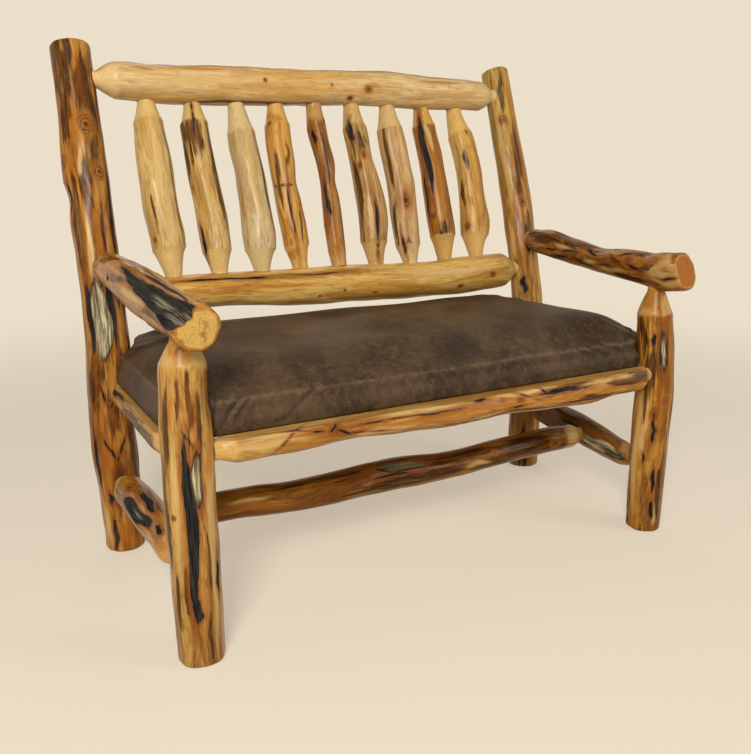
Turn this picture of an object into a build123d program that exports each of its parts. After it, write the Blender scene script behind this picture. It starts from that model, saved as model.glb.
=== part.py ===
from build123d import *
import os
from math import copysign, cos, radians, sin, sqrt

# Rustic log bench. Millimetres, +Z up, origin on the floor at the middle of the
# bench's box, +X towards the sitter's left hand, +Y from the front to the back.
# Every log is peeled and left round and a little bent. Its ends are turned to one
# tenon size and glued into blind mortises bored in the next log.

# ---- Driving sizes ----
front_spacing = 1092.0      # between the axes of the front posts
rear_splay = 20.0           # a rear post's axis outside the front post's
rear_spacing = front_spacing + 2 * rear_splay
front_y = -310.0            # axes of the front posts
post_depth = 486.0          # front post axis to rear post axis, at the seat
back_lean = 168.0           # how far the top of a rear post stands behind the seat's line
rear_height = 1096.0        # floor to the sawn top of a rear post

tenon_dia = 38.1            # turned tenon, one size throughout
glue_gap = 0.15             # between a tenon and its mortise, all round
end_gap = 1.5               # from a tenon's tip to the bottom of its mortise
reveal = 1.5                # tenon left showing between a shoulder and the next log
tenon_depth = 46.0          # how deep a tenon goes into a post or arm
corner_depth = 24.0         # where two tenons meet in one post, each stops short
spindle_depth = 28.0        # spindle tenons in the back rails
shoulder = 48.0             # length of the turned cone of a rail
spindle_shoulder = 34.0     # length of the turned cone of a spindle
post_shoulder = 44.0        # length of the turned cone on top of a front post
arm_shoulder = 26.0         # length of the turned cone at the back of an arm
eased_edge = 7.0            # rounding of a sawn end
section_step = 44.0         # spacing of the sections that a log is lofted through

front_post_dia = 86.0
rear_post_dia = 86.0
arm_dia = 74.0
top_rail_dia = 86.0
lower_rail_dia = 88.0
spindle_dia = 68.0
slim_spindle_dia = 46.0
seat_rail_dia = 67.0
side_stretcher_dia = 70.0
centre_stretcher_dia = 65.0

top_rail_z = 1020.0
lower_rail_z = 568.0
arm_rear_z = 648.0
arm_front_z = 614.0
left_arm_overhang = 88.0    # sawn front end ahead of the front post's axis
right_arm_overhang = 62.0
right_arm_toe_in = 3.0      # right arm's front end nearer the middle than the post
right_post_set_back = 16.0  # top tenon of the right front post behind its foot
top_rail_forward = 7.0      # top rail's tenons ahead of the rear posts' axes
seat_rail_z = 384.0
seat_flat_rise = 17.0       # planed tops of the seat rails above their tenons
seat_flat_z = seat_rail_z + seat_flat_rise
side_rail_out = 9.0         # side rail's tenon outside a front post's axis
front_rail_forward = 4.0    # front rail's tenon ahead of a front post's axis
rear_rail_back = 12.0       # rear rail's tenon behind a rear post's axis
left_stretcher_front_z = 180.0
left_stretcher_rear_z = 170.0
left_stretcher_out = 10.0   # front tenon outside the front post's axis
right_stretcher_front_z = 152.0
right_stretcher_rear_z = 186.0
right_stretcher_out = 4.0
stretcher_y = 212.0         # centre stretcher behind the front posts' axes

spindle_count = 9
spindle_end_bay = 158.0     # a rear post's axis to the first spindle's
spindle_pitch = (rear_spacing - 2 * spindle_end_bay) / (spindle_count - 1)
spindle_low_x = 3.0         # middle of the row in the lower rail
spindle_high_x = -5.0       # middle of the row in the top rail: the row leans a little

seat_overhang = 20.0        # leather's side outside a front post's axis
seat_front = 8.0            # leather's front face behind the front posts' axes
seat_back = 24.0            # leather's back face behind the rear posts' axes
seat_thick = 104.0          # leather cover, rails' flats to its top
seat_crown_run = 150.0      # the top curves down over this width at the front and sides
seat_crown_drop = 46.0      # and by this much at the edge
post_gap = 2.0              # leather to a post
leather = 1.5
board = 18.0
soft_gap = 0.3              # between the foam, the board and the leather
hem = 56.0                  # leather turned in under the board
staple_inset = 48.0         # row of staples from the leather's edge
staple_pitch = 88.0
staple_crown = 10.0
staple_leg = 8.0
staple_wire = 1.0

screw_dia = 5.0
screw_head_dia = 9.5
screw_head = 3.0
screw_sink = 3.0            # head below the wood's surface
screw_fit = 0.1
seat_screw_pitch = 330.0    # at most, along each seat rail

X, Y, Z = Vector(1, 0, 0), Vector(0, 1, 0), Vector(0, 0, 1)
tenon_r = tenon_dia / 2


def smooth(knots, values, t):
    """A smooth curve through the values at the knots."""
    last = len(knots) - 1
    i = 0
    while i < last - 1 and t > knots[i + 1]:
        i += 1

    def slope(k):
        low, high = max(k - 1, 0), min(k + 1, last)
        return (values[high] - values[low]) / (knots[high] - knots[low])

    span = knots[i + 1] - knots[i]
    s = (t - knots[i]) / span
    return ((2 * s**3 - 3 * s**2 + 1) * values[i] + (s**3 - 2 * s**2 + s) * span * slope(i)
            + (3 * s**2 - 2 * s**3) * values[i + 1] + (s**3 - s**2) * span * slope(i + 1))


class Log:
    """A round log. Its shape is a list of (share of the length, two sways, girth):
    the sways, along side and rise, and the girth are shares of dia."""

    def __init__(self, name, start, end, dia, shape, side, rise):
        self.name = name
        self.start, self.end = start, end
        self.dia = dia
        self.side, self.rise = side, rise
        self.knots, self.side_sway, self.rise_sway, self.girth = zip(*shape)
        self.first_heading = self.last_heading = (end - start).normalized()
        self.ends = {0: [], 1: []}
        self.cuts = []

    def centre(self, t):
        straight = self.start + (self.end - self.start) * t
        sideways = self.side * self.dia * smooth(self.knots, self.side_sway, t)
        return straight + sideways + self.rise * self.dia * smooth(self.knots, self.rise_sway, t)

    def radius(self, t):
        return self.dia / 2 * smooth(self.knots, self.girth, t)

    def heading(self, t):
        near = 0.01
        return (self.centre(min(t + near, 1)) - self.centre(max(t - near, 0))).normalized()

    def share_at(self, axis, value):
        """The share of the length where the log's axis reaches a coordinate."""
        low, high = 0.0, 1.0
        rising = getattr(self.end, axis) > getattr(self.start, axis)
        for _ in range(40):
            mid = (low + high) / 2
            if (getattr(self.centre(mid), axis) < value) == rising:
                low = mid
            else:
                high = mid
        return (low + high) / 2

    def solid(self):
        """One loft through the round sections, with the turned ends, less the cuts."""
        count = max(6, round((self.end - self.start).length / section_step))
        sections = []
        for i in range(count + 1):
            t = i / count
            heading = self.heading(t)
            if i == 0:
                heading = self.first_heading
            if i == count:
                heading = self.last_heading
            sections.append((self.centre(t), heading, self.radius(t)))
        sections = self.ends[0][::-1] + sections + self.ends[1]
        rings = [Plane(origin=at, x_dir=self.side, z_dir=heading) * Circle(r)
                 for at, heading, r in sections]
        return loft(rings, ruled=True) - self.cuts


class Joint:
    """A place on a log's axis, or aside from it, that another log's tenon points at."""

    def __init__(self, parent, axis, value, aside=Vector(0, 0, 0)):
        self.parent = parent
        self.share = parent.share_at(axis, value)
        self.point = parent.centre(self.share) + aside
        self.aside = aside.length

    def reach(self, into):
        """From the place back to the skin, along a tenon that comes in along into."""
        parent, t = self.parent, self.share
        near = tenon_r / (parent.end - parent.start).length
        widest = max(parent.radius(min(max(t + step, 0), 1)) for step in (-near, 0, near))
        edge = max(0.0, self.aside - tenon_r)
        slant = abs(into.dot(parent.heading(t)))
        return (sqrt(widest**2 - edge**2) + tenon_r * slant) / sqrt(1 - slant**2)


def cone(base, tip, base_r, tip_r):
    length = (tip - base).length
    return Solid.make_cone(base_r, tip_r, length, Plane(origin=base, z_dir=tip - base))


def rod(base, tip, r):
    return Solid.make_cylinder(r, (tip - base).length, Plane(origin=base, z_dir=tip - base))


def ease_end(log, t, heading):
    """A sawn end with its edge rounded over, beyond the full-girth body."""
    base, r = log.centre(t), log.radius(t)
    along = heading if t == 1 else -heading
    for angle in (45, 90):
        back = eased_edge * (1 - cos(radians(angle)))
        out = eased_edge * sin(radians(angle))
        log.ends[t].append((base + heading * out, along, r - back))


def turn_end(log, t, joint, depth):
    """A turned shoulder and tenon from the body's end towards a joint, and the blind
    mortise for it in the joint's parent. Returns the tenon's root and tip."""
    base = log.centre(t)
    into = (joint.point - base).normalized()
    reach = joint.reach(into)
    root = joint.point - into * (reach + reveal)
    tip = joint.point - into * (reach - depth)
    along = into if t == 1 else -into
    log.ends[t] += [(root, along, tenon_r), (tip, along, tenon_r)]
    joint.parent.cuts.append(rod(root, tip + into * end_gap, tenon_r + glue_gap))
    return root, tip


def joined_log(name, a, b, dia, shape, side, rise, shoulders, depth):
    """A log with a tenon at both ends, between two joints."""
    into = (b.point - a.point).normalized()
    start = a.point + into * (a.reach(into) + reveal + shoulders[0])
    end = b.point - into * (b.reach(into) + reveal + shoulders[1])
    log = Log(name, start, end, dia, shape, side, rise)
    log.tenon_a = turn_end(log, 0, a, depth)
    log.tenon_b = turn_end(log, 1, b, depth)
    return log


# ---- Rear posts: leaning back above the arms, the left one crooked at the seat ----
rear_y = front_y + post_depth


def rear_post(name, hand, shape):
    foot = Vector(hand * rear_spacing / 2, rear_y, eased_edge)
    top = Vector(hand * rear_spacing / 2, rear_y + back_lean, rear_height - eased_edge)
    log = Log(name, foot, top, rear_post_dia, shape, X, Y)
    log.first_heading = Z
    ease_end(log, 0, -Z)
    ease_end(log, 1, log.last_heading)
    return log


# share of the length, sway in x, sway in y from the straight line, girth
rear_post_left = rear_post("rear_post_left", -1, [
    (0.00, 0.05, 0.30, 0.98), (0.12, 0, -0.08, 1.06), (0.22, -0.07, -0.37, 1.11),
    (0.33, -0.10, -0.65, 1.07), (0.43, -0.01, -0.74, 1.07), (0.52, 0.02, -0.71, 1.04),
    (0.63, 0.01, -0.58, 1.02), (0.76, 0.02, -0.31, 1.10), (0.85, 0.06, -0.16, 0.98),
    (1.00, 0.07, 0.16, 0.98)])
rear_post_right = rear_post("rear_post_right", 1, [
    (0.00, 0.03, -0.10, 0.99), (0.15, 0.05, -0.37, 1.00), (0.32, 0.08, -0.65, 1.00),
    (0.44, 0.07, -0.74, 0.98), (0.54, 0.02, -0.70, 0.92), (0.66, 0.03, -0.53, 0.92),
    (0.80, 0.01, -0.23, 0.90), (0.92, -0.03, 0, 0.87), (1.00, -0.05, 0.16, 0.85)])


# ---- Arms: sawn at the front, tenoned into the rear posts ----
def arm(name, hand, post, overhang, toe_in, shape):
    joint = Joint(post, "Z", arm_rear_z)
    over_post = Vector(hand * (front_spacing / 2 - toe_in), front_y, arm_front_z)
    into = (joint.point - over_post).normalized()
    start = over_post - into * (overhang - eased_edge)
    end = joint.point - into * (joint.reach(into) + reveal + arm_shoulder)
    log = Log(name, start, end, arm_dia, shape, X, Z)
    ease_end(log, 0, -into)
    log.tenon_b = turn_end(log, 1, joint, tenon_depth)
    return log


arm_left = arm("arm_left", -1, rear_post_left, left_arm_overhang, 0.0, [
    (0.00, 0, 0, 0.99), (0.14, 0, 0.03, 1.02), (0.30, 0, -0.01, 1.06),
    (0.50, 0, 0, 1.08), (0.70, 0, 0.04, 1.01), (0.88, 0, 0.04, 0.90), (1.00, 0, 0, 0.78)])
arm_right = arm("arm_right", 1, rear_post_right, right_arm_overhang, right_arm_toe_in, [
    (0.00, 0, 0.04, 1.13), (0.10, 0, 0.01, 1.14), (0.20, 0, -0.05, 0.99),
    (0.40, 0, -0.05, 0.95), (0.58, 0, -0.09, 0.87), (0.76, 0, -0.04, 0.88),
    (0.90, 0, 0.05, 0.92), (1.00, 0, 0, 0.78)])


# ---- Front posts: foot on the floor, tenon up into the arm ----
def front_post(name, hand, arm_log, set_back, shape):
    joint = Joint(arm_log, "Y", front_y + set_back)
    foot = Vector(hand * front_spacing / 2, front_y, eased_edge)
    end = joint.point - Z * (joint.reach(Z) + reveal + post_shoulder)
    log = Log(name, foot, end, front_post_dia, shape, X, Y)
    log.first_heading = log.last_heading = Z
    ease_end(log, 0, -Z)
    log.tenon_b = turn_end(log, 1, joint, tenon_depth)
    return log


front_post_left = front_post("front_post_left", -1, arm_left, 0.0, [
    (0.00, 0.03, 0, 0.96), (0.15, 0.01, 0, 1.01), (0.34, 0, 0, 1.01), (0.54, -0.03, 0, 1.02),
    (0.72, -0.02, 0, 1.02), (0.88, -0.02, 0, 0.96), (1.00, 0, 0, 0.90)])
front_post_right = front_post("front_post_right", 1, arm_right, right_post_set_back, [
    (0.00, 0.06, 0, 0.90), (0.22, 0.01, -0.05, 0.94), (0.45, 0.01, -0.08, 1.01),
    (0.62, 0.05, -0.12, 1.01), (0.76, 0.03, -0.10, 0.97), (0.90, 0.01, -0.05, 0.96),
    (1.00, 0, 0, 0.89)])


# ---- Back rails, tenoned between the rear posts ----
def back_rail(name, z, forward, dia, shape):
    left = Joint(rear_post_left, "Z", z, -Y * forward)
    right = Joint(rear_post_right, "Z", z, -Y * forward)
    return joined_log(name, left, right, dia, shape, Y, Z, (shoulder, shoulder), tenon_depth)


top_rail = back_rail("top_rail", top_rail_z, top_rail_forward, top_rail_dia, [
    (0.00, 0, 0.01, 0.93), (0.10, 0, -0.05, 0.99), (0.16, 0, -0.05, 1.02), (0.34, 0, 0, 1.02),
    (0.50, 0, 0.05, 0.98), (0.70, 0, 0.08, 0.99), (0.82, 0, 0.03, 0.95), (1.00, 0, 0, 0.90)])
lower_back_rail = back_rail("lower_back_rail", lower_rail_z, 0.0, lower_rail_dia, [
    (0.00, 0, 0.02, 0.84), (0.20, 0, 0.01, 0.90), (0.36, 0, -0.07, 0.97), (0.55, 0, -0.10, 1.02),
    (0.70, 0, -0.15, 1.02), (0.88, 0, -0.12, 1.08), (1.00, 0, -0.07, 1.04)])

# ---- Spindles, between the two back rails ----
# share of the length, sway in x, girth
spindle_shapes = [
    [(0, -0.06, 0.97), (0.14, -0.07, 1.10), (0.35, -0.12, 1.17), (0.6, -0.09, 1.18), (1, -0.06, 0.94)],
    [(0, 0.03, 0.96), (0.15, 0.04, 1.02), (0.3, 0.04, 1.01), (0.6, -0.06, 1.00), (1, -0.03, 0.93)],
    [(0, 0.06, 0.97), (0.13, 0.12, 1.14), (0.4, 0.12, 1.03), (0.7, 0.06, 1.05), (1, 0.04, 0.88)],
    [(0, -0.06, 0.82), (0.15, -0.09, 0.89), (0.5, -0.13, 0.91), (0.75, -0.13, 0.93), (1, -0.06, 0.86)],
    [(0, -0.02, 0.98), (0.25, 0.02, 0.98), (0.55, 0.09, 0.95), (0.8, 0.02, 1.01), (1, -0.11, 1.00)],
    [(0, 0.03, 0.92), (0.12, 0.09, 1.02), (0.28, 0.12, 1.03), (0.7, 0.03, 0.94), (1, -0.06, 0.84)],
    [(0, -0.01, 0.93), (0.15, 0, 1.04), (0.5, 0.04, 1.01), (0.85, -0.04, 1.02), (1, -0.04, 0.90)],
    [(0, 0.09, 0.93), (0.15, 0.13, 1.02), (0.35, 0.09, 0.99), (0.7, 0.06, 0.93), (1, 0, 0.90)],
    [(0, 0.07, 0.99), (0.16, 0.19, 1.14), (0.45, 0.24, 0.98), (0.8, 0.22, 0.98), (1, 0.04, 0.85)],
]
slim_spindles = [5]


def spindle(number):
    offset = (number - (spindle_count + 1) / 2) * spindle_pitch
    low = Joint(lower_back_rail, "X", offset + spindle_low_x)
    high = Joint(top_rail, "X", offset + spindle_high_x)
    dia = slim_spindle_dia if number in slim_spindles else spindle_dia
    outline = spindle_shapes[(number - 1) % len(spindle_shapes)]
    shape = [(t, sway, 0, girth) for t, sway, girth in outline]
    across = X.cross((high.point - low.point).normalized())
    return joined_log(f"spindle_{number}", low, high, dia, shape, X, across,
                      (spindle_shoulder, spindle_shoulder), spindle_depth)


spindles = [spindle(number) for number in range(1, spindle_count + 1)]

# ---- Seat rails, their tops planed flat to carry the board ----
# Two tenons meet in each post at the seat, so each stops short of the other.
flat_cut = Pos(0, 0, seat_flat_z + rear_height / 2) * Box(2 * rear_spacing, 2 * rear_spacing, rear_height)


def cross_seat_rail(name, left, right, shape, shoulders):
    return joined_log(name, left, right, seat_rail_dia, shape, Y, Z, shoulders, corner_depth)


def side_seat_rail(name, hand, front_log, rear_log, shape):
    rail_x = hand * (front_spacing / 2 + side_rail_out)
    joints = []
    for post in (front_log, rear_log):
        middle = post.centre(post.share_at("Z", seat_rail_z))
        joints.append(Joint(post, "Z", seat_rail_z, X * (rail_x - middle.X)))
    return joined_log(name, *joints, seat_rail_dia, shape, X, Z, (shoulder, shoulder), corner_depth)


seat_rail_front = cross_seat_rail(
    "seat_rail_front",
    Joint(front_post_left, "Z", seat_rail_z, -Y * front_rail_forward),
    Joint(front_post_right, "Z", seat_rail_z, -Y * front_rail_forward),
    [(0.00, 0, 0, 0.88), (0.15, 0, 0.04, 0.92), (0.40, 0, 0.03, 0.97), (0.60, 0, 0, 1.03),
     (0.85, 0, -0.01, 1.02), (1.00, 0, 0, 0.98)],
    (shoulder, arm_shoulder))
seat_rail_rear = cross_seat_rail(
    "seat_rail_rear",
    Joint(rear_post_left, "Z", seat_rail_z, Y * rear_rail_back),
    Joint(rear_post_right, "Z", seat_rail_z, Y * rear_rail_back),
    [(0.00, 0, 0, 0.96), (0.30, 0, -0.03, 1.00), (0.70, 0, -0.01, 0.98), (1.00, 0, 0, 0.94)],
    (shoulder, shoulder))
seat_rail_left = side_seat_rail("seat_rail_left", -1, front_post_left, rear_post_left, [
    (0.00, 0, 0.03, 0.96), (0.30, 0.01, 0.04, 1.00), (0.70, 0.03, 0.06, 1.00), (1.00, 0, 0.03, 0.96)])
seat_rail_right = side_seat_rail("seat_rail_right", 1, front_post_right, rear_post_right, [
    (0.00, 0, 0, 0.97), (0.40, -0.03, 0.04, 1.03), (0.75, 0, 0.03, 1.00), (1.00, 0, 0, 0.96)])
seat_rails = [seat_rail_front, seat_rail_rear, seat_rail_left, seat_rail_right]
for rail in seat_rails:
    rail.cuts.append(flat_cut)


# ---- Stretchers: one each side, and one across between them ----
def side_stretcher(name, front_log, front_z, out, rear_log, rear_z, shape):
    front = Joint(front_log, "Z", front_z, X * out)
    rear = Joint(rear_log, "Z", rear_z)
    return joined_log(name, front, rear, side_stretcher_dia, shape, X, Z,
                      (shoulder, shoulder), tenon_depth)


side_stretcher_left = side_stretcher(
    "side_stretcher_left", front_post_left, left_stretcher_front_z, -left_stretcher_out,
    rear_post_left, left_stretcher_rear_z,
    [(0.00, 0, 0, 0.96), (0.25, -0.03, 0.03, 1.02), (0.55, 0, 0.06, 1.04), (0.80, 0.03, 0, 1.00),
     (1.00, 0, 0, 0.92)])
side_stretcher_right = side_stretcher(
    "side_stretcher_right", front_post_right, right_stretcher_front_z, right_stretcher_out,
    rear_post_right, right_stretcher_rear_z,
    [(0.00, 0, 0, 0.84), (0.25, 0, 0.03, 0.95), (0.50, 0, 0.09, 1.02), (0.75, 0, 0.04, 1.06),
     (1.00, 0, 0, 0.96)])
centre_stretcher = joined_log(
    "centre_stretcher",
    Joint(side_stretcher_left, "Y", front_y + stretcher_y),
    Joint(side_stretcher_right, "Y", front_y + stretcher_y),
    centre_stretcher_dia,
    [(0.00, 0, 0.06, 0.90), (0.10, 0, 0.02, 0.97), (0.24, 0, -0.14, 1.02), (0.45, 0, -0.06, 1.08),
     (0.62, 0, -0.14, 1.02), (0.80, 0, -0.05, 0.90), (0.93, 0, 0.05, 0.93), (1.00, 0, 0.02, 0.86)],
    Y, Z, (spindle_shoulder, spindle_shoulder), tenon_r * 2)

logs = [front_post_left, front_post_right, rear_post_left, rear_post_right, arm_left, arm_right,
        top_rail, lower_back_rail, *spindles, *seat_rails,
        side_stretcher_left, side_stretcher_right, centre_stretcher]

# ---- Seat: board, foam and leather, notched round the four posts ----
seat_half_width = front_spacing / 2 + seat_overhang
seat_front_y = front_y + seat_front
seat_back_y = rear_y + seat_back
seat_mid_y = (seat_front_y + seat_back_y) / 2
cover_low = seat_flat_z + soft_gap
cover_high = cover_low + seat_thick
inner = leather + soft_gap
board_low = cover_low + inner
board_high = board_low + board
posts = [front_post_left, front_post_right, rear_post_left, rear_post_right]


def post_notches(clearance):
    """Round cuts that let the seat pass the posts."""
    cuts = []
    for post in posts:
        shares = [post.share_at("Z", cover_low + seat_thick * i / 6) for i in range(7)]
        base, tip = post.centre(shares[0]), post.centre(shares[-1])
        run = (tip - base).normalized()
        widest = max(post.radius(t) + (post.centre(t) - base).cross(run).length for t in shares)
        cuts.append(rod(base - run * seat_thick, tip + run * seat_thick, widest + clearance))
    return cuts


def seat_crown(inset):
    """The domed top: two rounded bars, one for the sides and one for the front."""
    curve = (seat_crown_run**2 + seat_crown_drop**2) / (2 * seat_crown_drop)
    middle = cover_high - curve
    bar_height = 2 * (curve - inset)
    side_plane = Plane(origin=(0, seat_mid_y, middle), x_dir=X, z_dir=-Y)
    side_bar = side_plane * SlotCenterToCenter(2 * (seat_half_width - seat_crown_run), bar_height)
    first, last = seat_front_y + seat_crown_run, seat_back_y
    front_plane = Plane(origin=(0, (first + last) / 2, middle), x_dir=Y, z_dir=X)
    front_bar = front_plane * SlotCenterToCenter(last - first, bar_height)
    far = 2 * seat_half_width
    return extrude(side_bar, far, both=True) & extrude(front_bar, far, both=True)


def seat_form(inset, low, high, crowned=False):
    """The seat's block between two heights, pulled in by an inset all round."""
    width = 2 * (seat_half_width - inset)
    depth = seat_back_y - seat_front_y - 2 * inset
    block = Pos(0, seat_mid_y, (low + high) / 2) * Box(width, depth, high - low)
    if crowned:
        block &= seat_crown(inset)
    return block - post_notches(post_gap + inset)


hem_window = seat_form(hem, cover_low - leather, cover_low + 2 * leather)
leather_cover = seat_form(0.0, cover_low, cover_high, crowned=True)
leather_cover -= seat_form(leather, cover_low + leather, cover_high, crowned=True)
leather_cover -= hem_window
seat_board = seat_form(inner, board_low, board_high)
foam_pad = seat_form(inner, board_high, cover_high, crowned=True)


# ---- Staples through the leather's hem into the board ----
def staple_legs(slack):
    """The two legs of a staple that stands at the origin."""
    wide = staple_wire + 2 * slack
    at = (staple_crown - staple_wire) / 2
    foot = (Align.CENTER, Align.CENTER, Align.MIN)
    return [Pos(hand * at, 0, 0) * Box(wide, wide, staple_leg + slack, align=foot) for hand in (-1, 1)]


def staple(place):
    crown = Box(staple_crown, staple_wire, staple_wire, align=(Align.CENTER, Align.CENTER, Align.MAX))
    for leg in staple_legs(0.0):
        crown += leg
    return place * crown


def spread(length, pitch):
    count = max(2, int(length / pitch) + 1)
    return [(i / (count - 1) - 0.5) * length for i in range(count)]


long_run = 2 * (seat_half_width - hem - front_post_dia)
short_run = seat_back_y - seat_front_y - 2 * (hem + front_post_dia)
staple_places = []
for x in spread(long_run, staple_pitch):
    staple_places.append(Pos(x, seat_front_y + staple_inset, cover_low))
    staple_places.append(Pos(x, seat_back_y - staple_inset, cover_low))
for y in spread(short_run, staple_pitch):
    for hand in (-1, 1):
        place = Pos(hand * (seat_half_width - staple_inset), seat_mid_y + y, cover_low)
        staple_places.append(place * Rot(0, 0, 90))
staples = [staple(place) for place in staple_places]
staple_holes = [place * leg for place in staple_places for leg in staple_legs(screw_fit)]


# ---- Screws ----
def screw(head, tip, pieces):
    """A screw from its head's top to its tip, and its hole in the logs it passes."""
    into = (tip - head).normalized()
    neck = head + into * screw_head
    for piece in pieces:
        piece.cuts.append(rod(neck, tip + into * screw_fit, screw_dia / 2 + screw_fit))
        piece.cuts.append(rod(head - into * 4 * screw_sink, neck, screw_head_dia / 2 + screw_fit))
    return cone(head, neck, screw_head_dia / 2, screw_dia / 2) + rod(neck, tip, screw_dia / 2)


def screw_across(post, rail, tenon):
    """From the back of a rear post through a tenon that crosses it."""
    root, tip = tenon
    t = post.share_at("Z", root.Z)
    middle = (root + tip) / 2
    aside = middle.X - post.centre(t).X
    back = post.centre(t).Y + sqrt(post.radius(t) ** 2 - aside ** 2)
    head = Vector(middle.X, back - screw_sink, middle.Z)
    point = Vector(middle.X, middle.Y - tenon_r * 0.7, middle.Z)
    return screw(head, point, (post, rail))


def screw_along(post, rail, tenon):
    """From the back of a rear post into the end of a tenon that points at it."""
    root, tip = tenon
    into = (tip - root).normalized()
    reach = post.radius(post.share_at("Z", tip.Z))
    head = root + into * (2 * reach + reveal - screw_sink)
    return screw(head, tip - into * tenon_depth * 0.6, (post, rail))


def screw_up(side_log, rail, tenon):
    """From beneath a side stretcher through the centre stretcher's tenon."""
    root, tip = tenon
    middle = (root + tip) / 2
    t = side_log.share_at("Y", middle.Y)
    aside = middle.X - side_log.centre(t).X
    under = side_log.centre(t).Z - sqrt(side_log.radius(t) ** 2 - aside ** 2)
    head = Vector(middle.X, middle.Y, under + screw_sink)
    point = Vector(middle.X, middle.Y, middle.Z + tenon_r * 0.7)
    return screw(head, point, (side_log, rail))


frame_screws = []
for rail in (top_rail, lower_back_rail, seat_rail_rear):
    frame_screws.append(screw_across(rear_post_left, rail, rail.tenon_a))
    frame_screws.append(screw_across(rear_post_right, rail, rail.tenon_b))
for post, rail in ((rear_post_left, arm_left), (rear_post_right, arm_right),
                   (rear_post_left, side_stretcher_left), (rear_post_right, side_stretcher_right)):
    frame_screws.append(screw_along(post, rail, rail.tenon_b))
frame_screws.append(screw_up(side_stretcher_left, centre_stretcher, centre_stretcher.tenon_a))
frame_screws.append(screw_up(side_stretcher_right, centre_stretcher, centre_stretcher.tenon_b))


class Plain:
    """A seat piece that takes the screws' holes too."""

    def __init__(self, shape):
        self.shape, self.cuts = shape, []

    def solid(self):
        return self.shape - self.cuts


seat_cover = Plain(leather_cover)
seat_base = Plain(seat_board)


def seat_screw(rail, along, edge):
    """Up through a seat rail and the leather's hem into the board, in the middle of
    the strip where the rail's flat top carries the seat. edge is the leather's edge."""
    t = rail.share_at("X" if rail.side == Y else "Y", along)
    centre, r = rail.centre(t), rail.radius(t)
    across = centre.Y if rail.side == Y else centre.X
    flat_half = sqrt(r**2 - (seat_flat_z - centre.Z) ** 2)
    inner_edge = across - copysign(flat_half, edge)
    place = (inner_edge + edge) / 2
    under = centre.Z - sqrt(r**2 - (place - across) ** 2)
    x, y = (along, place) if rail.side == Y else (place, along)
    return screw(Vector(x, y, under + screw_sink), Vector(x, y, board_high - screw_sink),
                 (rail, seat_cover, seat_base))


seat_screws = []
for x in spread(long_run - front_post_dia, seat_screw_pitch):
    seat_screws.append(seat_screw(seat_rail_front, x, seat_front_y))
    seat_screws.append(seat_screw(seat_rail_rear, x, seat_back_y))
for y in spread(short_run - front_post_dia, seat_screw_pitch):
    seat_screws.append(seat_screw(seat_rail_left, seat_mid_y + y, -seat_half_width))
    seat_screws.append(seat_screw(seat_rail_right, seat_mid_y + y, seat_half_width))
seat_cover.cuts += staple_holes
seat_base.cuts += staple_holes

# ---- Write one file for each piece ----
os.makedirs("parts", exist_ok=True)
for log in logs:
    export_step(log.solid(), f"parts/{log.name}.step")
export_step(seat_cover.solid(), "parts/leather_cover.step")
export_step(seat_base.solid(), "parts/seat_board.step")
export_step(foam_pad, "parts/foam_pad.step")
export_step(Compound(children=staples), "parts/cover_staples.step")
export_step(Compound(children=frame_screws), "parts/frame_screws.step")
export_step(Compound(children=seat_screws), "parts/seat_screws.step")
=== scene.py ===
from math import cos, pi, radians, sin

import bmesh
import bpy
import numpy as np
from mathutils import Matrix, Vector
from mathutils.bvhtree import BVHTree


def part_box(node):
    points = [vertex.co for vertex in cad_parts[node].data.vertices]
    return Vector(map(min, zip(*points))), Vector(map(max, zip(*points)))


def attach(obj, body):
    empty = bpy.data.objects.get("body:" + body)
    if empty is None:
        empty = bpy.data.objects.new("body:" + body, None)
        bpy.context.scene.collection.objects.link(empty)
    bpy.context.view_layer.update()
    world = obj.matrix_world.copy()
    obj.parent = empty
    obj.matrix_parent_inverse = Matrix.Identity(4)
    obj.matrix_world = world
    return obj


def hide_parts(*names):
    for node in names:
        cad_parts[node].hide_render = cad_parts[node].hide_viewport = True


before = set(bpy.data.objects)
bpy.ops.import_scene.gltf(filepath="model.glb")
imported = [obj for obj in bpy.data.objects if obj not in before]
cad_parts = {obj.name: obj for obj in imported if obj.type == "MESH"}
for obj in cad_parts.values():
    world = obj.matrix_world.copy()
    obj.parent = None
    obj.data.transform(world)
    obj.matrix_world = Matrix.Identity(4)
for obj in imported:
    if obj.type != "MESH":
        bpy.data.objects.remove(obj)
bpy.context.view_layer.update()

# ---- Room ----
# A plain pale floor and a plain pale surround. A large soft lamp stands high on the left
# of the bench, a weaker one on the right and a faint one behind it. The surround fills
# the shadows.
scene = bpy.context.scene
scene.view_settings.view_transform = "Standard"

camera = bpy.data.objects.new("camera", bpy.data.cameras.new("camera"))
camera.location = (-0.899, -1.5787, 0.8595)
camera.rotation_euler = (radians(74.95), 0, radians(-29.22))
camera.data.lens = 39.0
camera.data.sensor_width = 36
camera.data.sensor_fit = "VERTICAL"
camera.data.sensor_height = 36
scene.collection.objects.link(camera)
scene.camera = camera


def soft_lamp(name, place, target, size, power, colour):
    lamp = bpy.data.lights.new(name, "AREA")
    lamp.shape = "RECTANGLE"
    lamp.size, lamp.size_y = size
    lamp.energy = power
    lamp.color = colour
    stand = bpy.data.objects.new(name, lamp)
    stand.location = place
    aim = Vector(target) - Vector(place)
    stand.rotation_euler = aim.to_track_quat("-Z", "Y").to_euler()
    scene.collection.objects.link(stand)


warm, near_white = (1.0, 0.97, 0.92), (1.0, 0.98, 0.95)
soft_lamp("key_lamp", (-1.9, -2.6, 2.3), (0, 0, 0.55), (0.9, 1.2), 120, warm)
soft_lamp("side_lamp", (2.4, -2.6, 1.9), (0, 0, 0.5), (1.2, 1.7), 34, near_white)
soft_lamp("back_lamp", (0.6, 2.6, 2.4), (0, 0.1, 0.8), (1.8, 1.0), 14, near_white)


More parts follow.
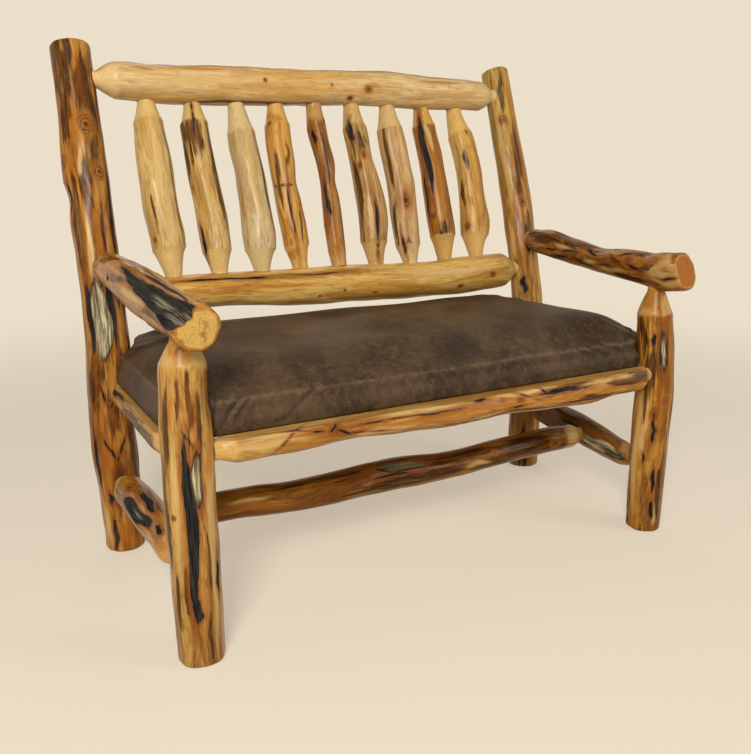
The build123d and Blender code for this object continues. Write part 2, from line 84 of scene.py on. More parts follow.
class Wire:
    """A node tree, or a node's output in it that sums can be written on."""

    def __init__(self, tree, socket=None):
        self.tree, self.socket = tree, socket

    def find(self, sockets, key):
        if isinstance(key, int):
            return sockets[key]
        return next(s for s in sockets if s.enabled and key in (s.identifier, s.name))

    def node(self, kind, inputs=None, out=0, **settings):
        """Adds a node: its settings first, then its sockets' values or links."""
        made = self.tree.nodes.new(kind)
        for name, value in settings.items():
            setattr(made, name, value)
        for key, value in (inputs or {}).items():
            socket = self.find(made.inputs, key)
            if isinstance(value, Wire):
                self.tree.links.new(value.socket, socket)
            else:
                socket.default_value = (*value, 1) if socket.type == "RGBA" else value
        return Wire(self.tree, self.find(made.outputs, out)) if made.outputs else made

    def also(self, key):
        """Another output of the same node."""
        return Wire(self.tree, self.find(self.socket.node.outputs, key))

    def math(self, operation, *others):
        return self.node("ShaderNodeMath", dict(enumerate((self,) + others)), operation=operation)

    def __add__(self, other):
        return self.math("ADD", other)

    def __sub__(self, other):
        return self.math("SUBTRACT", other)

    def __rsub__(self, other):
        return self.node("ShaderNodeMath", {0: other, 1: self}, operation="SUBTRACT")

    def __mul__(self, other):
        return self.math("MULTIPLY", other)

    def step(self, low, high):
        """Rises smoothly from 0 to 1 between two levels, or falls if low is the higher."""
        return self.node("ShaderNodeMapRange", {"Value": self, "From Min": low, "From Max": high},
                         interpolation_type="SMOOTHSTEP")

    def layered(self, colour, *layers):
        """A colour with others laid over it, each by its share."""
        for share, tint in layers:
            inputs = {"Factor_Float": share, "A_Color": colour, "B_Color": tint}
            colour = self.node("ShaderNodeMix", inputs, "Result_Color", data_type="RGBA")
        return colour

    def vector(self, operation, other=(0, 0, 0), out=0):
        return self.node("ShaderNodeVectorMath", {0: self, 1: other}, out, operation=operation)

    def scaled(self, by):
        """A vector or a colour times a number."""
        return self.node("ShaderNodeVectorMath", {0: self, "Scale": by}, operation="SCALE")

    def parts(self):
        """A vector's three numbers."""
        first = self.node("ShaderNodeSeparateXYZ", {0: self})
        return first, first.also("Y"), first.also("Z")

    def noise(self, detail=2.0, rough=0.5, twist=0.0, seed=0.0):
        """Cloudy noise over a place."""
        return self.node("ShaderNodeTexNoise",
                         {"Vector": self, "W": seed, "Scale": 1.0, "Detail": detail,
                          "Roughness": rough, "Distortion": twist}, "Fac", noise_dimensions="4D")

    def stored(self, name, out="Vector"):
        return self.node("ShaderNodeAttribute", out=out, attribute_name=name)

    def bump(self, strength, distance):
        return self.node("ShaderNodeBump",
                         {"Strength": strength, "Distance": distance, "Height": self})

    def coat(self, inputs):
        """Ends the tree in one shader."""
        shader = self.node("ShaderNodeBsdfPrincipled", inputs)
        self.node("ShaderNodeOutputMaterial", {"Surface": shader})


def emptied(block):
    """A new material or world, with its node tree cleared for a new one."""
    block.use_nodes = True
    block.node_tree.nodes.clear()
    return block, Wire(block.node_tree)


def seen_rays(wire):
    """1 for rays from the camera, also by way of metal or glass, and 0 for light."""
    direct = wire.node("ShaderNodeLightPath", out="Is Camera Ray")
    return direct + direct.also("Is Glossy Ray") + direct.also("Is Transmission Ray")


backdrop = (0.84, 0.74, 0.59)
surround, wire = emptied(bpy.data.worlds.new("surround"))
fill_light = wire.node("ShaderNodeBackground", {"Color": warm, "Strength": 0.30})
plain = wire.node("ShaderNodeBackground", {"Color": backdrop, "Strength": 1.0})
seen = wire.node("ShaderNodeMixShader", {0: seen_rays(wire), 1: fill_light, 2: plain})
wire.node("ShaderNodeOutputWorld", {"Surface": seen})
scene.world = surround

# Far from the bench the floor glows as the surround does, so that no edge shows.
floor_mesh = bpy.data.meshes.new("floor")
half_floor = 14.0
corners = [(x * half_floor, y * half_floor, 0) for x, y in ((-1, -1), (1, -1), (1, 1), (-1, 1))]
floor_mesh.from_pydata(corners, [], [(0, 1, 2, 3)])
floor = bpy.data.objects.new("floor", floor_mesh)
scene.collection.objects.link(floor)
floor_paint, wire = emptied(bpy.data.materials.new("floor_paint"))
away = wire.node("ShaderNodeTexCoord", out="Object").vector("LENGTH", out="Value")
lit = wire.node("ShaderNodeBsdfDiffuse", {"Color": (0.80, 0.70, 0.56)})
glow = wire.node("ShaderNodeEmission", {"Color": backdrop, "Strength": 1.0})
even_share = seen_rays(wire) * (away.step(1.2, 3.4) * 0.5 + 0.5)
shader = wire.node("ShaderNodeMixShader", {0: even_share, 1: lit, 2: glow})
wire.node("ShaderNodeOutputMaterial", {"Surface": shader})
floor_mesh.materials.append(floor_paint)

# ---- Rear posts ----
# Two peeled logs, from the floor to the top rail, sawn square at both ends. Each log is
# swept along the axis of its CAD solid, with the bulges, knots and scars of real wood.
tenon = 0.01905             # radius of every turned tenon
sunk = 0.012                # tenon modelled inside the next log
eased = 0.007               # rounding of a sawn edge
post_radius = 0.042         # about that of the sawn ends
step = 0.003
around = 96


def measure(name):
    """A log's axis and radius, from rays cast inward on its CAD solid. A circle is
    fitted at each place, and what strays from it, such as a mortise, counts little."""
    spacing = 0.008             # from one fitted circle to the next
    rays = 24                   # cast at each
    clear = 0.12                # farther out than any log's skin
    loose = 0.0004              # a hit that strays more than this counts little
    at_end = 0.004              # the nearness to an end of the corners that are its face
    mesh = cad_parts[name].data
    skin = BVHTree.FromPolygons([v.co for v in mesh.vertices], [p.vertices for p in mesh.polygons])
    low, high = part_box(name)
    run = max(range(3), key=lambda i: high[i] - low[i])
    corners = np.array([v.co for v in mesh.vertices])
    first, last = (corners[np.abs(corners[:, run] - edge) < at_end].mean(axis=0)
                   for edge in (low[run], high[run]))
    count = int(np.linalg.norm(last - first) / spacing)
    centres = first + np.linspace(0.004, 0.996, count)[:, None] * (last - first)
    radii = np.zeros(count)
    for sweep in range(2):
        headings = np.gradient(centres, axis=0)
        for i, heading in enumerate(headings):
            side = np.cross(heading, (0.3, 0.5, 0.8))
            side /= np.linalg.norm(side)
            up = np.cross(heading / np.linalg.norm(heading), side)
            hits = []
            for turn in np.linspace(0, 2 * pi, rays, endpoint=False):
                way = side * cos(turn) + up * sin(turn)
                hit = skin.ray_cast(Vector(centres[i] + way * clear), Vector(-way), clear)[0]
                if hit:
                    out = np.array(hit) - centres[i]
                    hits.append((out @ side, out @ up))
            hits = np.array(hits)
            trust = np.ones(len(hits))
            for _ in range(10):
                rows = np.column_stack((2 * hits, np.ones(len(hits)))) * trust[:, None]
                a, b, c = np.linalg.lstsq(rows, (hits**2).sum(axis=1) * trust, rcond=None)[0]
                radii[i] = (c + a * a + b * b) ** 0.5
                stray = np.hypot(hits[:, 0] - a, hits[:, 1] - b) - radii[i]
                trust = 1 / (1 + (stray / loose) ** 2)
            shift = side * a + up * b
            centres[i] += shift
            if sweep == 0:
                centres[i + 1:] += shift
    return run, centres, radii


def even(values):
    """A running mean of five, with the ends held."""
    padded = np.pad(values, ((2, 2), (0, 0)), mode="reflect", reflect_type="odd")
    window = np.ones(5) / 5
    return np.column_stack([np.convolve(column, window, "valid") for column in padded.T])


def sawn_rings():
    """Rings of a sawn end, each an inset and a share of the radius: the eased edge,
    the flat disc, and the pith in its middle."""
    turns = (0.3, 0.7, 1.1, pi / 2)
    edge = [(eased * (1 - sin(a)), 1 - eased * (1 - cos(a)) / post_radius) for a in turns]
    disc = [(-0.0001 * k, 0.83 * (1 - k / 12)) for k in range(1, 12)]
    return np.array(edge + disc + [(-0.0013, 0.004)])


def log_path(name, shoulders, flare, foot):
    """The log's stations as a chain of points. girth is its natural radius, limit the
    turned cone of a shoulder, and share pulls a sawn end in to its middle."""
    run, centres, radii = measure(name)
    travel = np.concatenate(([0], np.cumsum(np.linalg.norm(np.diff(centres, axis=0), axis=1))))
    girth = radii.copy()
    blur = 0.004                # how far a shoulder's edge is blurred in the radius
    spans, roots = [], []
    for end, shoulder in zip((0, 1), shoulders):
        order = np.arange(len(travel))[:: 1 - 2 * end]
        outward = 2 * end - 1
        if shoulder:
            root = travel[order[np.argmax(radii[order] > tenon + 0.0012)]] + outward * blur
            body = root - outward * (shoulder + blur)
            within = travel < body if end == 0 else travel > body
            girth[within] = np.interp(body, travel, radii)
            roots.append((root, np.interp(body, travel, radii), shoulder))
            spans.append(root + outward * sunk)
        else:
            roots.append(None)
            girth[order[:3]] = girth[order[3]]
            tip, inner = centres[order[0]], centres[order[6]]
            heading = (tip - inner) / np.linalg.norm(tip - inner)
            tilt = 0 if foot and end == 0 else (1 - heading[run] ** 2) ** 0.5
            gap = abs(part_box(name)[end][run] - tip[run]) - girth[order[0]] * tilt
            spans.append(travel[order[0]] + outward * gap / abs(heading[run]))
    stations = np.linspace(spans[0], spans[1], round((spans[1] - spans[0]) / step))
    share = np.ones(len(stations))
    for end, face in enumerate(spans):
        if shoulders[end]:
            continue
        inward = 1 - 2 * end
        keep = (stations - face) * inward > eased
        stations, share = stations[keep], share[keep]
        insets, shares = sawn_rings().T
        extra = face + inward * insets
        if end == 0:
            stations, share = np.append(extra[::-1], stations), np.append(shares[::-1], share)
        else:
            stations, share = np.append(stations, extra), np.append(share, shares)
    smooth_centres = even(even(centres))
    ends = np.gradient(smooth_centres, travel, axis=0)
    path = np.column_stack([np.interp(stations, travel, column) for column in smooth_centres.T])
    path += np.minimum(stations - travel[0], 0)[:, None] * ends[0]
    path += np.maximum(stations - travel[-1], 0)[:, None] * ends[-1]
    girths = np.interp(stations, travel, even(girth[:, None])[:, 0])
    unlimited = 0.2             # more than any log's radius
    limit = np.full(len(stations), unlimited)
    for end, root in enumerate(roots):
        if root:
            start, base, shoulder = root
            up = (stations - start) * (1 - 2 * end) / shoulder
            swelling = 1 - (1 - np.clip(up, 0, 1)) ** flare
            cone = tenon + (base - tenon + 0.003) * swelling + np.clip(up - 1, 0, 9) * 0.1
            limit = np.minimum(limit, cone)
    return run, path, {"girth": girths, "limit": limit, "share": share}


def new_group(name, kind, inputs, outputs):
    """An empty node group with its named inputs and outputs."""
    tree = bpy.data.node_groups.new(name, kind + "NodeTree")
    for way, sockets in (("INPUT", inputs), ("OUTPUT", outputs)):
        for title, held in sockets.items():
            tree.interface.new_socket(title, in_out=way, socket_type="NodeSocket" + held)
    return tree, Wire(tree)


def log_tree():
    """Sweeps a chain of stations into a log with natural bulges."""
    tree, wire = new_group(
        "peeled_log", "Geometry",
        {"Path": "Geometry", "Around": "Int", "Bulge": "Float", "Hewn": "Float", "Seed": "Float",
         "Turned Edge": "Float", "Finish": "Material"}, {"Log": "Geometry"})
    given = wire.node("NodeGroupInput", out="Path")

    def named(name, kind="FLOAT"):
        return wire.node("GeometryNodeInputNamedAttribute", {"Name": name}, "Attribute", data_type=kind)

    curve = wire.node("GeometryNodeMeshToCurve", {"Mesh": given})
    ring = wire.node("GeometryNodeCurvePrimitiveCircle",
                     {"Resolution": given.also("Around"), "Radius": 1.0}, mode="RADIUS")
    skin = wire.node("GeometryNodeCurveToMesh",
                     {"Curve": curve, "Profile Curve": ring, "Fill Caps": True})
    girth, limit = named("girth"), named("limit")
    centre = named("centre", "FLOAT_VECTOR")
    spoke = wire.node("GeometryNodeInputPosition").vector("SUBTRACT", centre)

    def uneven(across, along, detail, seed):
        place = spoke.scaled(girth * across).vector("ADD", centre.scaled(along))
        return place.noise(detail=detail, seed=seed) - 0.5

    swell = uneven(15.0, 5.5, 1.0, given.also("Seed"))
    hewn = uneven(42.0, 13.0, 0.5, given.also("Seed") + 7.0)
    natural = girth + swell * given.also("Bulge") * 4.0 + hewn * given.also("Hewn") * 4.0
    radius = natural.math("SMOOTH_MIN", limit, given.also("Turned Edge")) * named("share")
    place = centre.vector("ADD", spoke.scaled(radius))
    log = wire.node("GeometryNodeSetPosition", {"Geometry": skin, "Position": place})
    log = wire.node("GeometryNodeStoreNamedAttribute",
                    {"Geometry": log, "Name": "turned", "Value": (natural - limit) * 1000.0},
                    data_type="FLOAT", domain="POINT")
    log = wire.node("GeometryNodeRealizeInstances", {"Geometry": log})
    log = wire.node("GeometryNodeSetMaterial", {"Geometry": log, "Material": given.also("Finish")})
    wire.node("NodeGroupOutput", {"Log": log})
    return tree


peeled_log_tree = log_tree()


def read(held, key="value", width=1):
    values = np.zeros(len(held) * width)
    held.foreach_get(key, values)
    return values.reshape(-1, width) if width > 1 else values


def store(mesh, name, values):
    kind, key = ("FLOAT_VECTOR", "vector") if values.ndim == 2 else ("FLOAT", "value")
    layer = mesh.attributes.get(name) or mesh.attributes.new(name, kind, "POINT")
    layer.data.foreach_set(key, values.astype(np.float32).ravel())


def rise(values, low, high):
    share = np.clip((values - low) / (high - low), 0, 1)
    return share * share * (3 - 2 * share)


def hump(values):
    return np.exp(-(values**2))


def carve(mesh, run, marks, flat_top):
    """Works the marks into a swept log. A mark is a kind, its place along the log's
    main axis in mm, its angle, its half length and its half width in mm, and sometimes
    a slant. The angle is 0 on the front of an upright or cross log, and on top of one
    that runs back. A mark's number in the list sets how its outline sways."""
    co = read(mesh.vertices, "co", 3)
    centre = read(mesh.attributes["centre"].data, "vector", 3)
    share = read(mesh.attributes["share"].data)
    turned = read(mesh.attributes["turned"].data)
    spoke = co - centre
    radius = np.linalg.norm(spoke, axis=1) * 1000 / share
    ahead, across = (((0, -1, 0), (0, 0, 1)), ((0, 0, 1), (1, 0, 0)), ((0, -1, 0), (1, 0, 0)))[run]
    turn = np.arctan2(spoke @ np.array(across), spoke @ np.array(ahead))
    along = centre[:, run] * 1000
    lift = np.zeros(len(co))
    grain_turn = turn.copy()
    nowhere = -20.0             # the depth in mm inside a scar or a window, far from any
    scar = np.full(len(co), nowhere)
    window = np.full(len(co), nowhere)
    knot = np.full(len(co), 4.0)
    fields = {kind: np.full(len(co), -1.0) for kind in ("brown", "pale", "rust")}
    for number, (kind, place, angle, half_long, half_wide, *slant) in enumerate(marks):
        u = along - place
        swing = (turn - radians(angle) + pi) % (2 * pi) - pi
        v = swing * radius + sum(slant) * u
        s = u / half_long
        if kind not in ("knot", "swell", "dip"):
            sway = 0.15 if kind == "window" else 0.3
            v = v + half_wide * sway * (np.sin(2.3 * s + number) + 0.6 * np.sin(5.1 * s + 2.7 * number))
        d = np.hypot(s, v / half_wide)
        if kind in ("scar", "hollow", "window"):
            inside = half_wide * (1 - d)
            if kind == "window":
                window = np.maximum(window, inside)
            else:
                scar = np.maximum(scar, inside)
            depth = {"scar": min(0.4 * half_wide, 5.5), "hollow": 0.6 * half_wide,
                     "window": min(0.22 * half_wide, 3.5)}[kind]
            lift = np.minimum(lift, lift * 0.5 - depth * rise(1 - d, 0, 0.6))
            lift += min(0.12 * half_wide, 1.6) * hump((d - 1.25) / 0.28)
        elif kind == "knot":
            knot = np.minimum(knot, d)
            lift += 0.2 * half_wide * hump(d / 1.9) - 0.1 * half_wide * hump(d / 0.5)
            grain_turn -= swing * 0.8 / (1 + d**2) * (d < 6) * rise(-d, -6, -3)
        elif kind in ("swell", "dip"):
            lift += (0.16 if kind == "swell" else -0.16) * half_wide * hump(d)
        else:
            fields[kind] = np.maximum(fields[kind], 1 - d)
    lift *= share * rise(turned, 6, 1)
    co = centre + spoke * (1 + lift / radius)[:, None]
    planed = np.zeros(len(co))
    if flat_top:
        planed = rise(co[:, 2] - flat_top, -0.0005, 0.0005)
        co[:, 2] = np.minimum(co[:, 2], flat_top)
    co[:, 2] = np.maximum(co[:, 2], 0)
    mesh.vertices.foreach_set("co", co.ravel())
    out = radius * share
    grain = np.column_stack((out * np.cos(grain_turn), out * np.sin(grain_turn), along)) / 1000
    store(mesh, "grain", grain)
    cut = np.maximum(turned, planed * 1.6 - 2.5)
    store(mesh, "wear", np.column_stack((scar, knot, np.clip(cut, -6, 6))))
    store(mesh, "tone", np.column_stack((fields["brown"], fields["pale"], fields["rust"])))
    store(mesh, "face", np.column_stack((window, rise(-share, -0.95, -0.84), share)))
    for spent in ("centre", "share", "girth", "limit", "turned"):
        mesh.attributes.remove(mesh.attributes[spent])


def aspen_tree():
    """Lacquered aspen: sapwood and heartwood in drifts along the log, darker figure,
    knots with rings, black healed scars with a rusty rim, and paler turned shoulders."""
    tree, wire = new_group(
        "lacquered_aspen", "Shader",
        {"Cream": "Color", "Honey": "Color", "Brown": "Color", "End": "Color", "Rim": "Color",
         "Figure": "Float", "Seed": "Float"},
        {"Colour": "Color", "Roughness": "Float", "Height": "Float"})
    honey = wire.node("NodeGroupInput", out="Honey")
    brown, figure, seed = honey.also("Brown"), honey.also("Figure"), honey.also("Seed")
    grain = wire.stored("grain")

    def stretched(across, along, seed=seed, **look):
        return grain.vector("MULTIPLY", (across, across, along)).noise(seed=seed, **look)

    scar, knot, cut = wire.stored("wear").parts()
    stain, pale, rust = wire.stored("tone").parts()
    window, sawn, rim = wire.stored("face").parts()
    drift = stretched(18, 3.5, detail=3, rough=0.55, twist=0.3)
    streak = stretched(110, 8, detail=5, rough=0.68, twist=0.8)
    fibre = stretched(520, 14, detail=2, rough=0.6)
    ragged = stretched(180, 32, detail=3, rough=0.6) - 0.5
    fleck = stretched(240, 26, detail=3, rough=0.6, twist=0.5).step(0.60, 0.68)
    band = stretched(46, 4, seed + 8, detail=4, rough=0.6, twist=0.6)
    feather = band + streak - 1.0

    year_line = (drift * 75.0 + streak * 9.0).math("SINE").step(0.3, 1.0)
    dark_figure = (band + ragged * 0.25).step(0.49, 0.64).math("MAXIMUM", streak.step(0.53, 0.66))
    dark = wire.layered((0.12, 0.035, 0.005), (streak.step(0.38, 0.6), (0.018, 0.007, 0.003)))
    turned = wire.layered(honey.also("Cream"), (0.35, (0.66, 0.45, 0.17)))
    turned_share = (cut + (band - 0.5) * 12.0 + ragged * 4.0).step(-2.0, 2.2)
    knot_wood = wire.layered(
        (0.13, 0.042, 0.007),
        ((knot * 15.0 + ragged * 16.0).math("SINE").step(-0.8, 0.9), (0.29, 0.105, 0.017)),
        ((knot + ragged * 0.6).step(0.34, 0.12), (0.04, 0.013, 0.004)))
    bark_ring = (knot + ragged * 0.7 - 1.12).math("ABSOLUTE").step(0.2, 0.05)
    torn = ragged * 4.0 + (streak - 0.5) * 11.0
    lip = scar.math("MAXIMUM", window) + torn * 1.4
    colour = wire.layered(
        honey.also("Cream"),
        ((drift + feather * 0.4).step(0.38, 0.6), honey),
        (year_line * 0.3, brown),
        (dark_figure * figure, brown),
        (fleck * (figure * 0.75), (0.07, 0.022, 0.004)),
        # Pale marks lighten the wood: paler wood, and some of them a painted highlight, a thin gloss
        # stripe along a log.
        ((pale + feather * 1.5).step(-0.2, 0.5) * 0.8, (0.55, 0.36, 0.13)),
        ((rust + feather * 1.8).step(-0.2, 0.7) * 0.7, (0.35, 0.115, 0.013)),
        ((stain + feather * 2.4 + ragged * 0.6).step(-0.1, 0.38) * 0.88, dark),
        (turned_share * (0.8 - rust.step(0.1, 0.7) * 0.6), turned),
        ((knot + ragged * 0.9).step(2.4, 1.0) * 0.65, (0.36, 0.135, 0.018)),
        ((knot + ragged * 0.6).step(1.15, 0.9), knot_wood),
        (bark_ring * (figure * 0.55), (0.075, 0.022, 0.004)),
        (lip.step(-7.0, 0.0) * 0.75, (0.2, 0.055, 0.007)))

    # Sawn ends: yearly rings round the pith, a rim under the lost bark, and drying cracks.
    x, y, _ = grain.parts()
    out = wire.node("ShaderNodeCombineXYZ", {0: x, 1: y}).vector("LENGTH", out="Value")
    bend = stretched(60, 0, detail=2)
    year = (out * 2100.0 + bend * 9.0).math("SINE").step(-0.2, 1.0) * 0.42 + bend.step(0.54, 0.68) * 0.4
    crack = (y.math("ARCTAN2", x) * 2.5 + bend * 5.0).math("SINE").math("ABSOLUTE") + out * 2.0
    end_wood = wire.layered(
        honey.also("End"),
        (year, (0.17, 0.055, 0.009)),
        ((rim + (bend - 0.5) * 0.5).step(0.76, 0.88) * 0.85, honey.also("Rim")),
        (crack.step(0.12, 0.05) * 0.85, (0.07, 0.02, 0.004)))

    # Scars are black, and an old wide one is grey and stringy in the middle. Windows are
    # bare dry wood where the bark died, burnt dark along their edges.
    whole = 1.0 - sawn
    black = (scar + torn).step(-0.6, 0.8) * whole
    stringy = scar.step(7.0, 14.0) * (streak + fibre * 0.3).step(0.55, 0.78)
    bark = wire.layered((0.003, 0.003, 0.004), (fibre.step(0.4, 0.7), (0.035, 0.03, 0.025)),
                        (stringy, (0.24, 0.20, 0.13)))
    grey = wire.layered((0.014, 0.011, 0.006),
                        ((streak + fibre * 0.4).step(0.58, 0.82), (0.15, 0.125, 0.06)))
    burnt = (window + torn * 1.3).step(3.5, 0.4) * (band.step(0.42, 0.54) * 0.8 + 0.1)
    dry = wire.layered(
        (0.54, 0.46, 0.27),
        ((streak + fibre * 0.5).step(0.58, 0.86), (0.09, 0.065, 0.03)),
        ((stain + feather).step(-0.1, 0.4) * 0.95, grey),
        (burnt, (0.010, 0.005, 0.003)))
    colour = wire.layered(colour, (sawn, end_wood), (black, bark),
                          ((window + torn).step(-0.8, 0.2) * whole, dry))
    lit = colour.scaled(fibre * 0.7 + ragged * 0.4 + 0.64)
    height = fibre * 0.25 + streak * 0.5 + black * ragged * 1.5
    wire.node("NodeGroupOutput", {"Colour": lit, "Roughness": black * 0.4 + 0.24, "Height": height})
    return tree


lacquered_aspen = aspen_tree()


def peeled_wood(name, cream, honey, brown, figure, seed,
                end=(0.50, 0.27, 0.055), rim=(0.34, 0.13, 0.016)):
    """The aspen of one tree, under its varnish."""
    material, wire = emptied(bpy.data.materials.new(name))
    colour = wire.node("ShaderNodeGroup", {"Cream": cream, "Honey": honey, "Brown": brown, "End": end,
                                           "Rim": rim, "Figure": figure, "Seed": seed},
                       "Colour", node_tree=lacquered_aspen)
    wire.coat({"Base Color": colour, "Roughness": colour.also("Roughness"),
               "Normal": colour.also("Height").bump(0.5, 0.0015), "IOR": 1.22})
    return material


def settle(piece):
    """Replaces a piece's mesh by what its modifiers make of it."""
    bpy.context.view_layer.update()
    made = bpy.data.meshes.new_from_object(piece.evaluated_get(bpy.context.evaluated_depsgraph_get()))
    piece.modifiers.clear()
    piece.data = made
    return made


def peeled_log(name, shoulders, wood, marks, seed, bulge=0.002, hewn=0.0012, turned_edge=0.003,
               flare=1.4, back=0.0, flat_top=None, foot=False):
    """One finished log in place of its CAD solid. shoulders are the lengths of its turned
    cones, or 0 for a sawn end, and back eases its last end to the rear."""
    run, path, profile = log_path(name, shoulders, flare, foot)
    eased_run, upright_foot = 0.2, 0.03     # the top that moves back, the foot kept upright
    path[:, 1] += back * rise(path[:, run], path[-1, run] - eased_run, path[-1, run])
    if foot:
        level = np.interp(upright_foot, path[:, 2], np.arange(len(path)))
        held = path[int(level)]
        low = path[:, 2] < held[2]
        path[low, 0], path[low, 1] = held[0], held[1]
    mesh = bpy.data.meshes.new(name)
    mesh.from_pydata([Vector(p) for p in path], [(i, i + 1) for i in range(len(path) - 1)], [])
    store(mesh, "centre", path)
    for key, values in profile.items():
        store(mesh, key, values)
    log = bpy.data.objects.new(name + "_log", mesh)
    scene.collection.objects.link(log)
    shape = log.modifiers.new("shape", "NODES")
    shape.node_group = peeled_log_tree
    values = {"Around": around, "Bulge": bulge, "Hewn": hewn, "Seed": seed, "Turned Edge": turned_edge,
              "Finish": wood}
    for item in peeled_log_tree.interface.items_tree:
        if item.name in values:
            shape[item.identifier] = values[item.name]
    carve(settle(log), run, marks, flat_top)
    log.data.shade_smooth()
    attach(log, "root")
    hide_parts(name)


def wild(seed, low, high, angles, count):
    """Small marks of no account, for the sides that are seldom seen."""
    draw = np.random.default_rng(seed)
    marks = []
    for _ in range(count):
        kind = ("knot", "scar", "brown", "rust", "pale", "brown")[draw.integers(6)]
        size = {"knot": (8, 7), "scar": (26, 4)}.get(kind, (60, 9))
        grown = draw.uniform(0.6, 1.5)
        place, angle = draw.uniform(low, high), draw.uniform(*angles)
        marks.append((kind, place, angle, size[0] * grown, size[1] * grown))
    return marks


def mark(kind):
    """Writes marks of one kind, each as carve() takes it."""
    return lambda *sizes: (kind, *sizes)


knot, scar, window, hollow, brown, pale, rust, swell, dip = (
    mark(kind) for kind in ("knot", "scar", "window", "hollow", "brown", "pale", "rust", "swell", "dip"))
wood = peeled_wood("rear_post_wood", (0.43, 0.20, 0.036), (0.31, 0.11, 0.012), (0.11, 0.032, 0.004),
                   figure=0.9, seed=1.0)
peeled_log("rear_post_left", (0, 0), wood, [
    knot(914, 3, 17, 14), swell(914, 3, 30, 26), rust(905, 5, 45, 24), knot(844, -78, 15, 12),
    rust(842, -78, 40, 22), swell(850, -88, 34, 56), dip(775, -92, 34, 44), pale(880, -6, 60, 6),
    knot(818, 24, 15, 11), brown(1040, -62, 75, 22), brown(1000, 0, 100, 20), brown(1060, -25, 50, 14),
    # The long brown bands at 62 to 66 and -108 to -112 degrees are painted shade: they darken the post's
    # two sides as the camera sees them.
    brown(960, -50, 60, 12), brown(960, 62, 150, 16), brown(720, 66, 120, 14), brown(420, 62, 200, 16),
    brown(150, 62, 130, 16), brown(880, -112, 170, 16), brown(600, -108, 130, 14),
    brown(330, -108, 200, 16), brown(890, 22, 80, 12), brown(780, -12, 70, 14), brown(400, -40, 70, 14),
    brown(170, -8, 70, 14), scar(760, 52, 80, 5), scar(690, 48, 60, 4), brown(985, 34, 110, 17),
    brown(1020, -30, 60, 9), brown(925, -58, 55, 15), brown(1040, -75, 60, 16), scar(775, -72, 36, 5),
    # pale(820, ...) and pale(660, ...) are a painted highlight: a thin gloss stripe down the front of
    # the post.
    brown(780, -48, 50, 7), brown(690, -60, 70, 9), pale(820, -20, 70, 6), pale(660, -28, 120, 6),
    brown(700, 15, 60, 6), brown(880, 25, 30, 6), window(525, -22, 82, 20), scar(535, -52, 72, 8),
    scar(540, 9, 68, 8), brown(590, 30, 80, 10), scar(372, -26, 30, 3, 0.4), scar(372, 3, 30, 3, -0.4),
    brown(330, -12, 50, 18), scar(258, -22, 26, 3, 0.45), scar(258, 8, 26, 3, -0.45),
    rust(240, -10, 60, 24), scar(230, -64, 70, 6), scar(140, -38, 15, 5), scar(48, -38, 40, 6),
    pale(80, -62, 75, 10), brown(250, 48, 110, 10), rust(60, 0, 50, 26), brown(430, -55, 60, 8),
    brown(420, 20, 60, 8), *wild(1, 40, 1060, (90, 260), 14)], seed=2.0, foot=True)
wood = peeled_wood("rear_post_wood_right", (0.44, 0.28, 0.07), (0.36, 0.15, 0.02), (0.12, 0.04, 0.005),
                   figure=0.75, seed=1.7)
peeled_log("rear_post_right", (0, 0), wood, [
    knot(950, -39, 11, 9), knot(732, -15, 12, 10), rust(860, 22, 200, 14), rust(640, 14, 130, 14),
    brown(900, 50, 170, 12), brown(690, 50, 130, 12), rust(1000, 5, 80, 12), scar(519, -46, 24, 8),
    rust(730, -20, 50, 18), brown(840, -5, 120, 12), brown(650, -5, 80, 12), rust(600, -35, 60, 16),
    pale(860, -62, 150, 9), pale(640, -72, 60, 8), brown(1010, -30, 50, 8), brown(560, -70, 40, 8),
    brown(60, -45, 60, 14), scar(30, -30, 30, 6),
    *wild(2, 40, 1060, (60, 240), 14)], seed=3.0, foot=True)

# ---- Arms ----
# A log each, sawn at the front, with a turned tenon into the rear post. The left one
# has a long open hollow where a branch was lost, and the right one is weathered.
wood = peeled_wood("arm_wood", (0.45, 0.22, 0.045), (0.32, 0.12, 0.014), (0.11, 0.032, 0.004),
                   figure=0.9, seed=4.0, end=(0.52, 0.33, 0.09), rim=(0.30, 0.11, 0.012))
peeled_log("arm_left", (0, 0.026), wood, [
    hollow(-395, -46, 125, 27), hollow(-290, -41, 130, 19), scar(-190, -38, 120, 10),
    scar(-110, -36, 70, 5), rust(-230, -5, 140, 14), scar(-270, -8, 110, 4), scar(-8, -81, 8, 6),
    rust(20, -70, 50, 20), brown(-150, 10, 100, 8), brown(-60, 5, 50, 10), brown(-330, -80, 60, 6),
    knot(-378, 25, 12, 11), pale(-180, -75, 110, 9), brown(60, -30, 50, 14),
    brown(-60, -66, 70, 7, 0.15), brown(-300, -92, 90, 8), swell(-370, 20, 40, 36),
    *wild(3, -380, 90, (40, 240), 9)], seed=5.0, bulge=0.0026, hewn=0.0016)
wood = peeled_wood("arm_wood_right", (0.36, 0.16, 0.03), (0.24, 0.08, 0.01), (0.07, 0.02, 0.003),
                   figure=0.95, seed=5.0, end=(0.36, 0.115, 0.008), rim=(0.46, 0.24, 0.06))
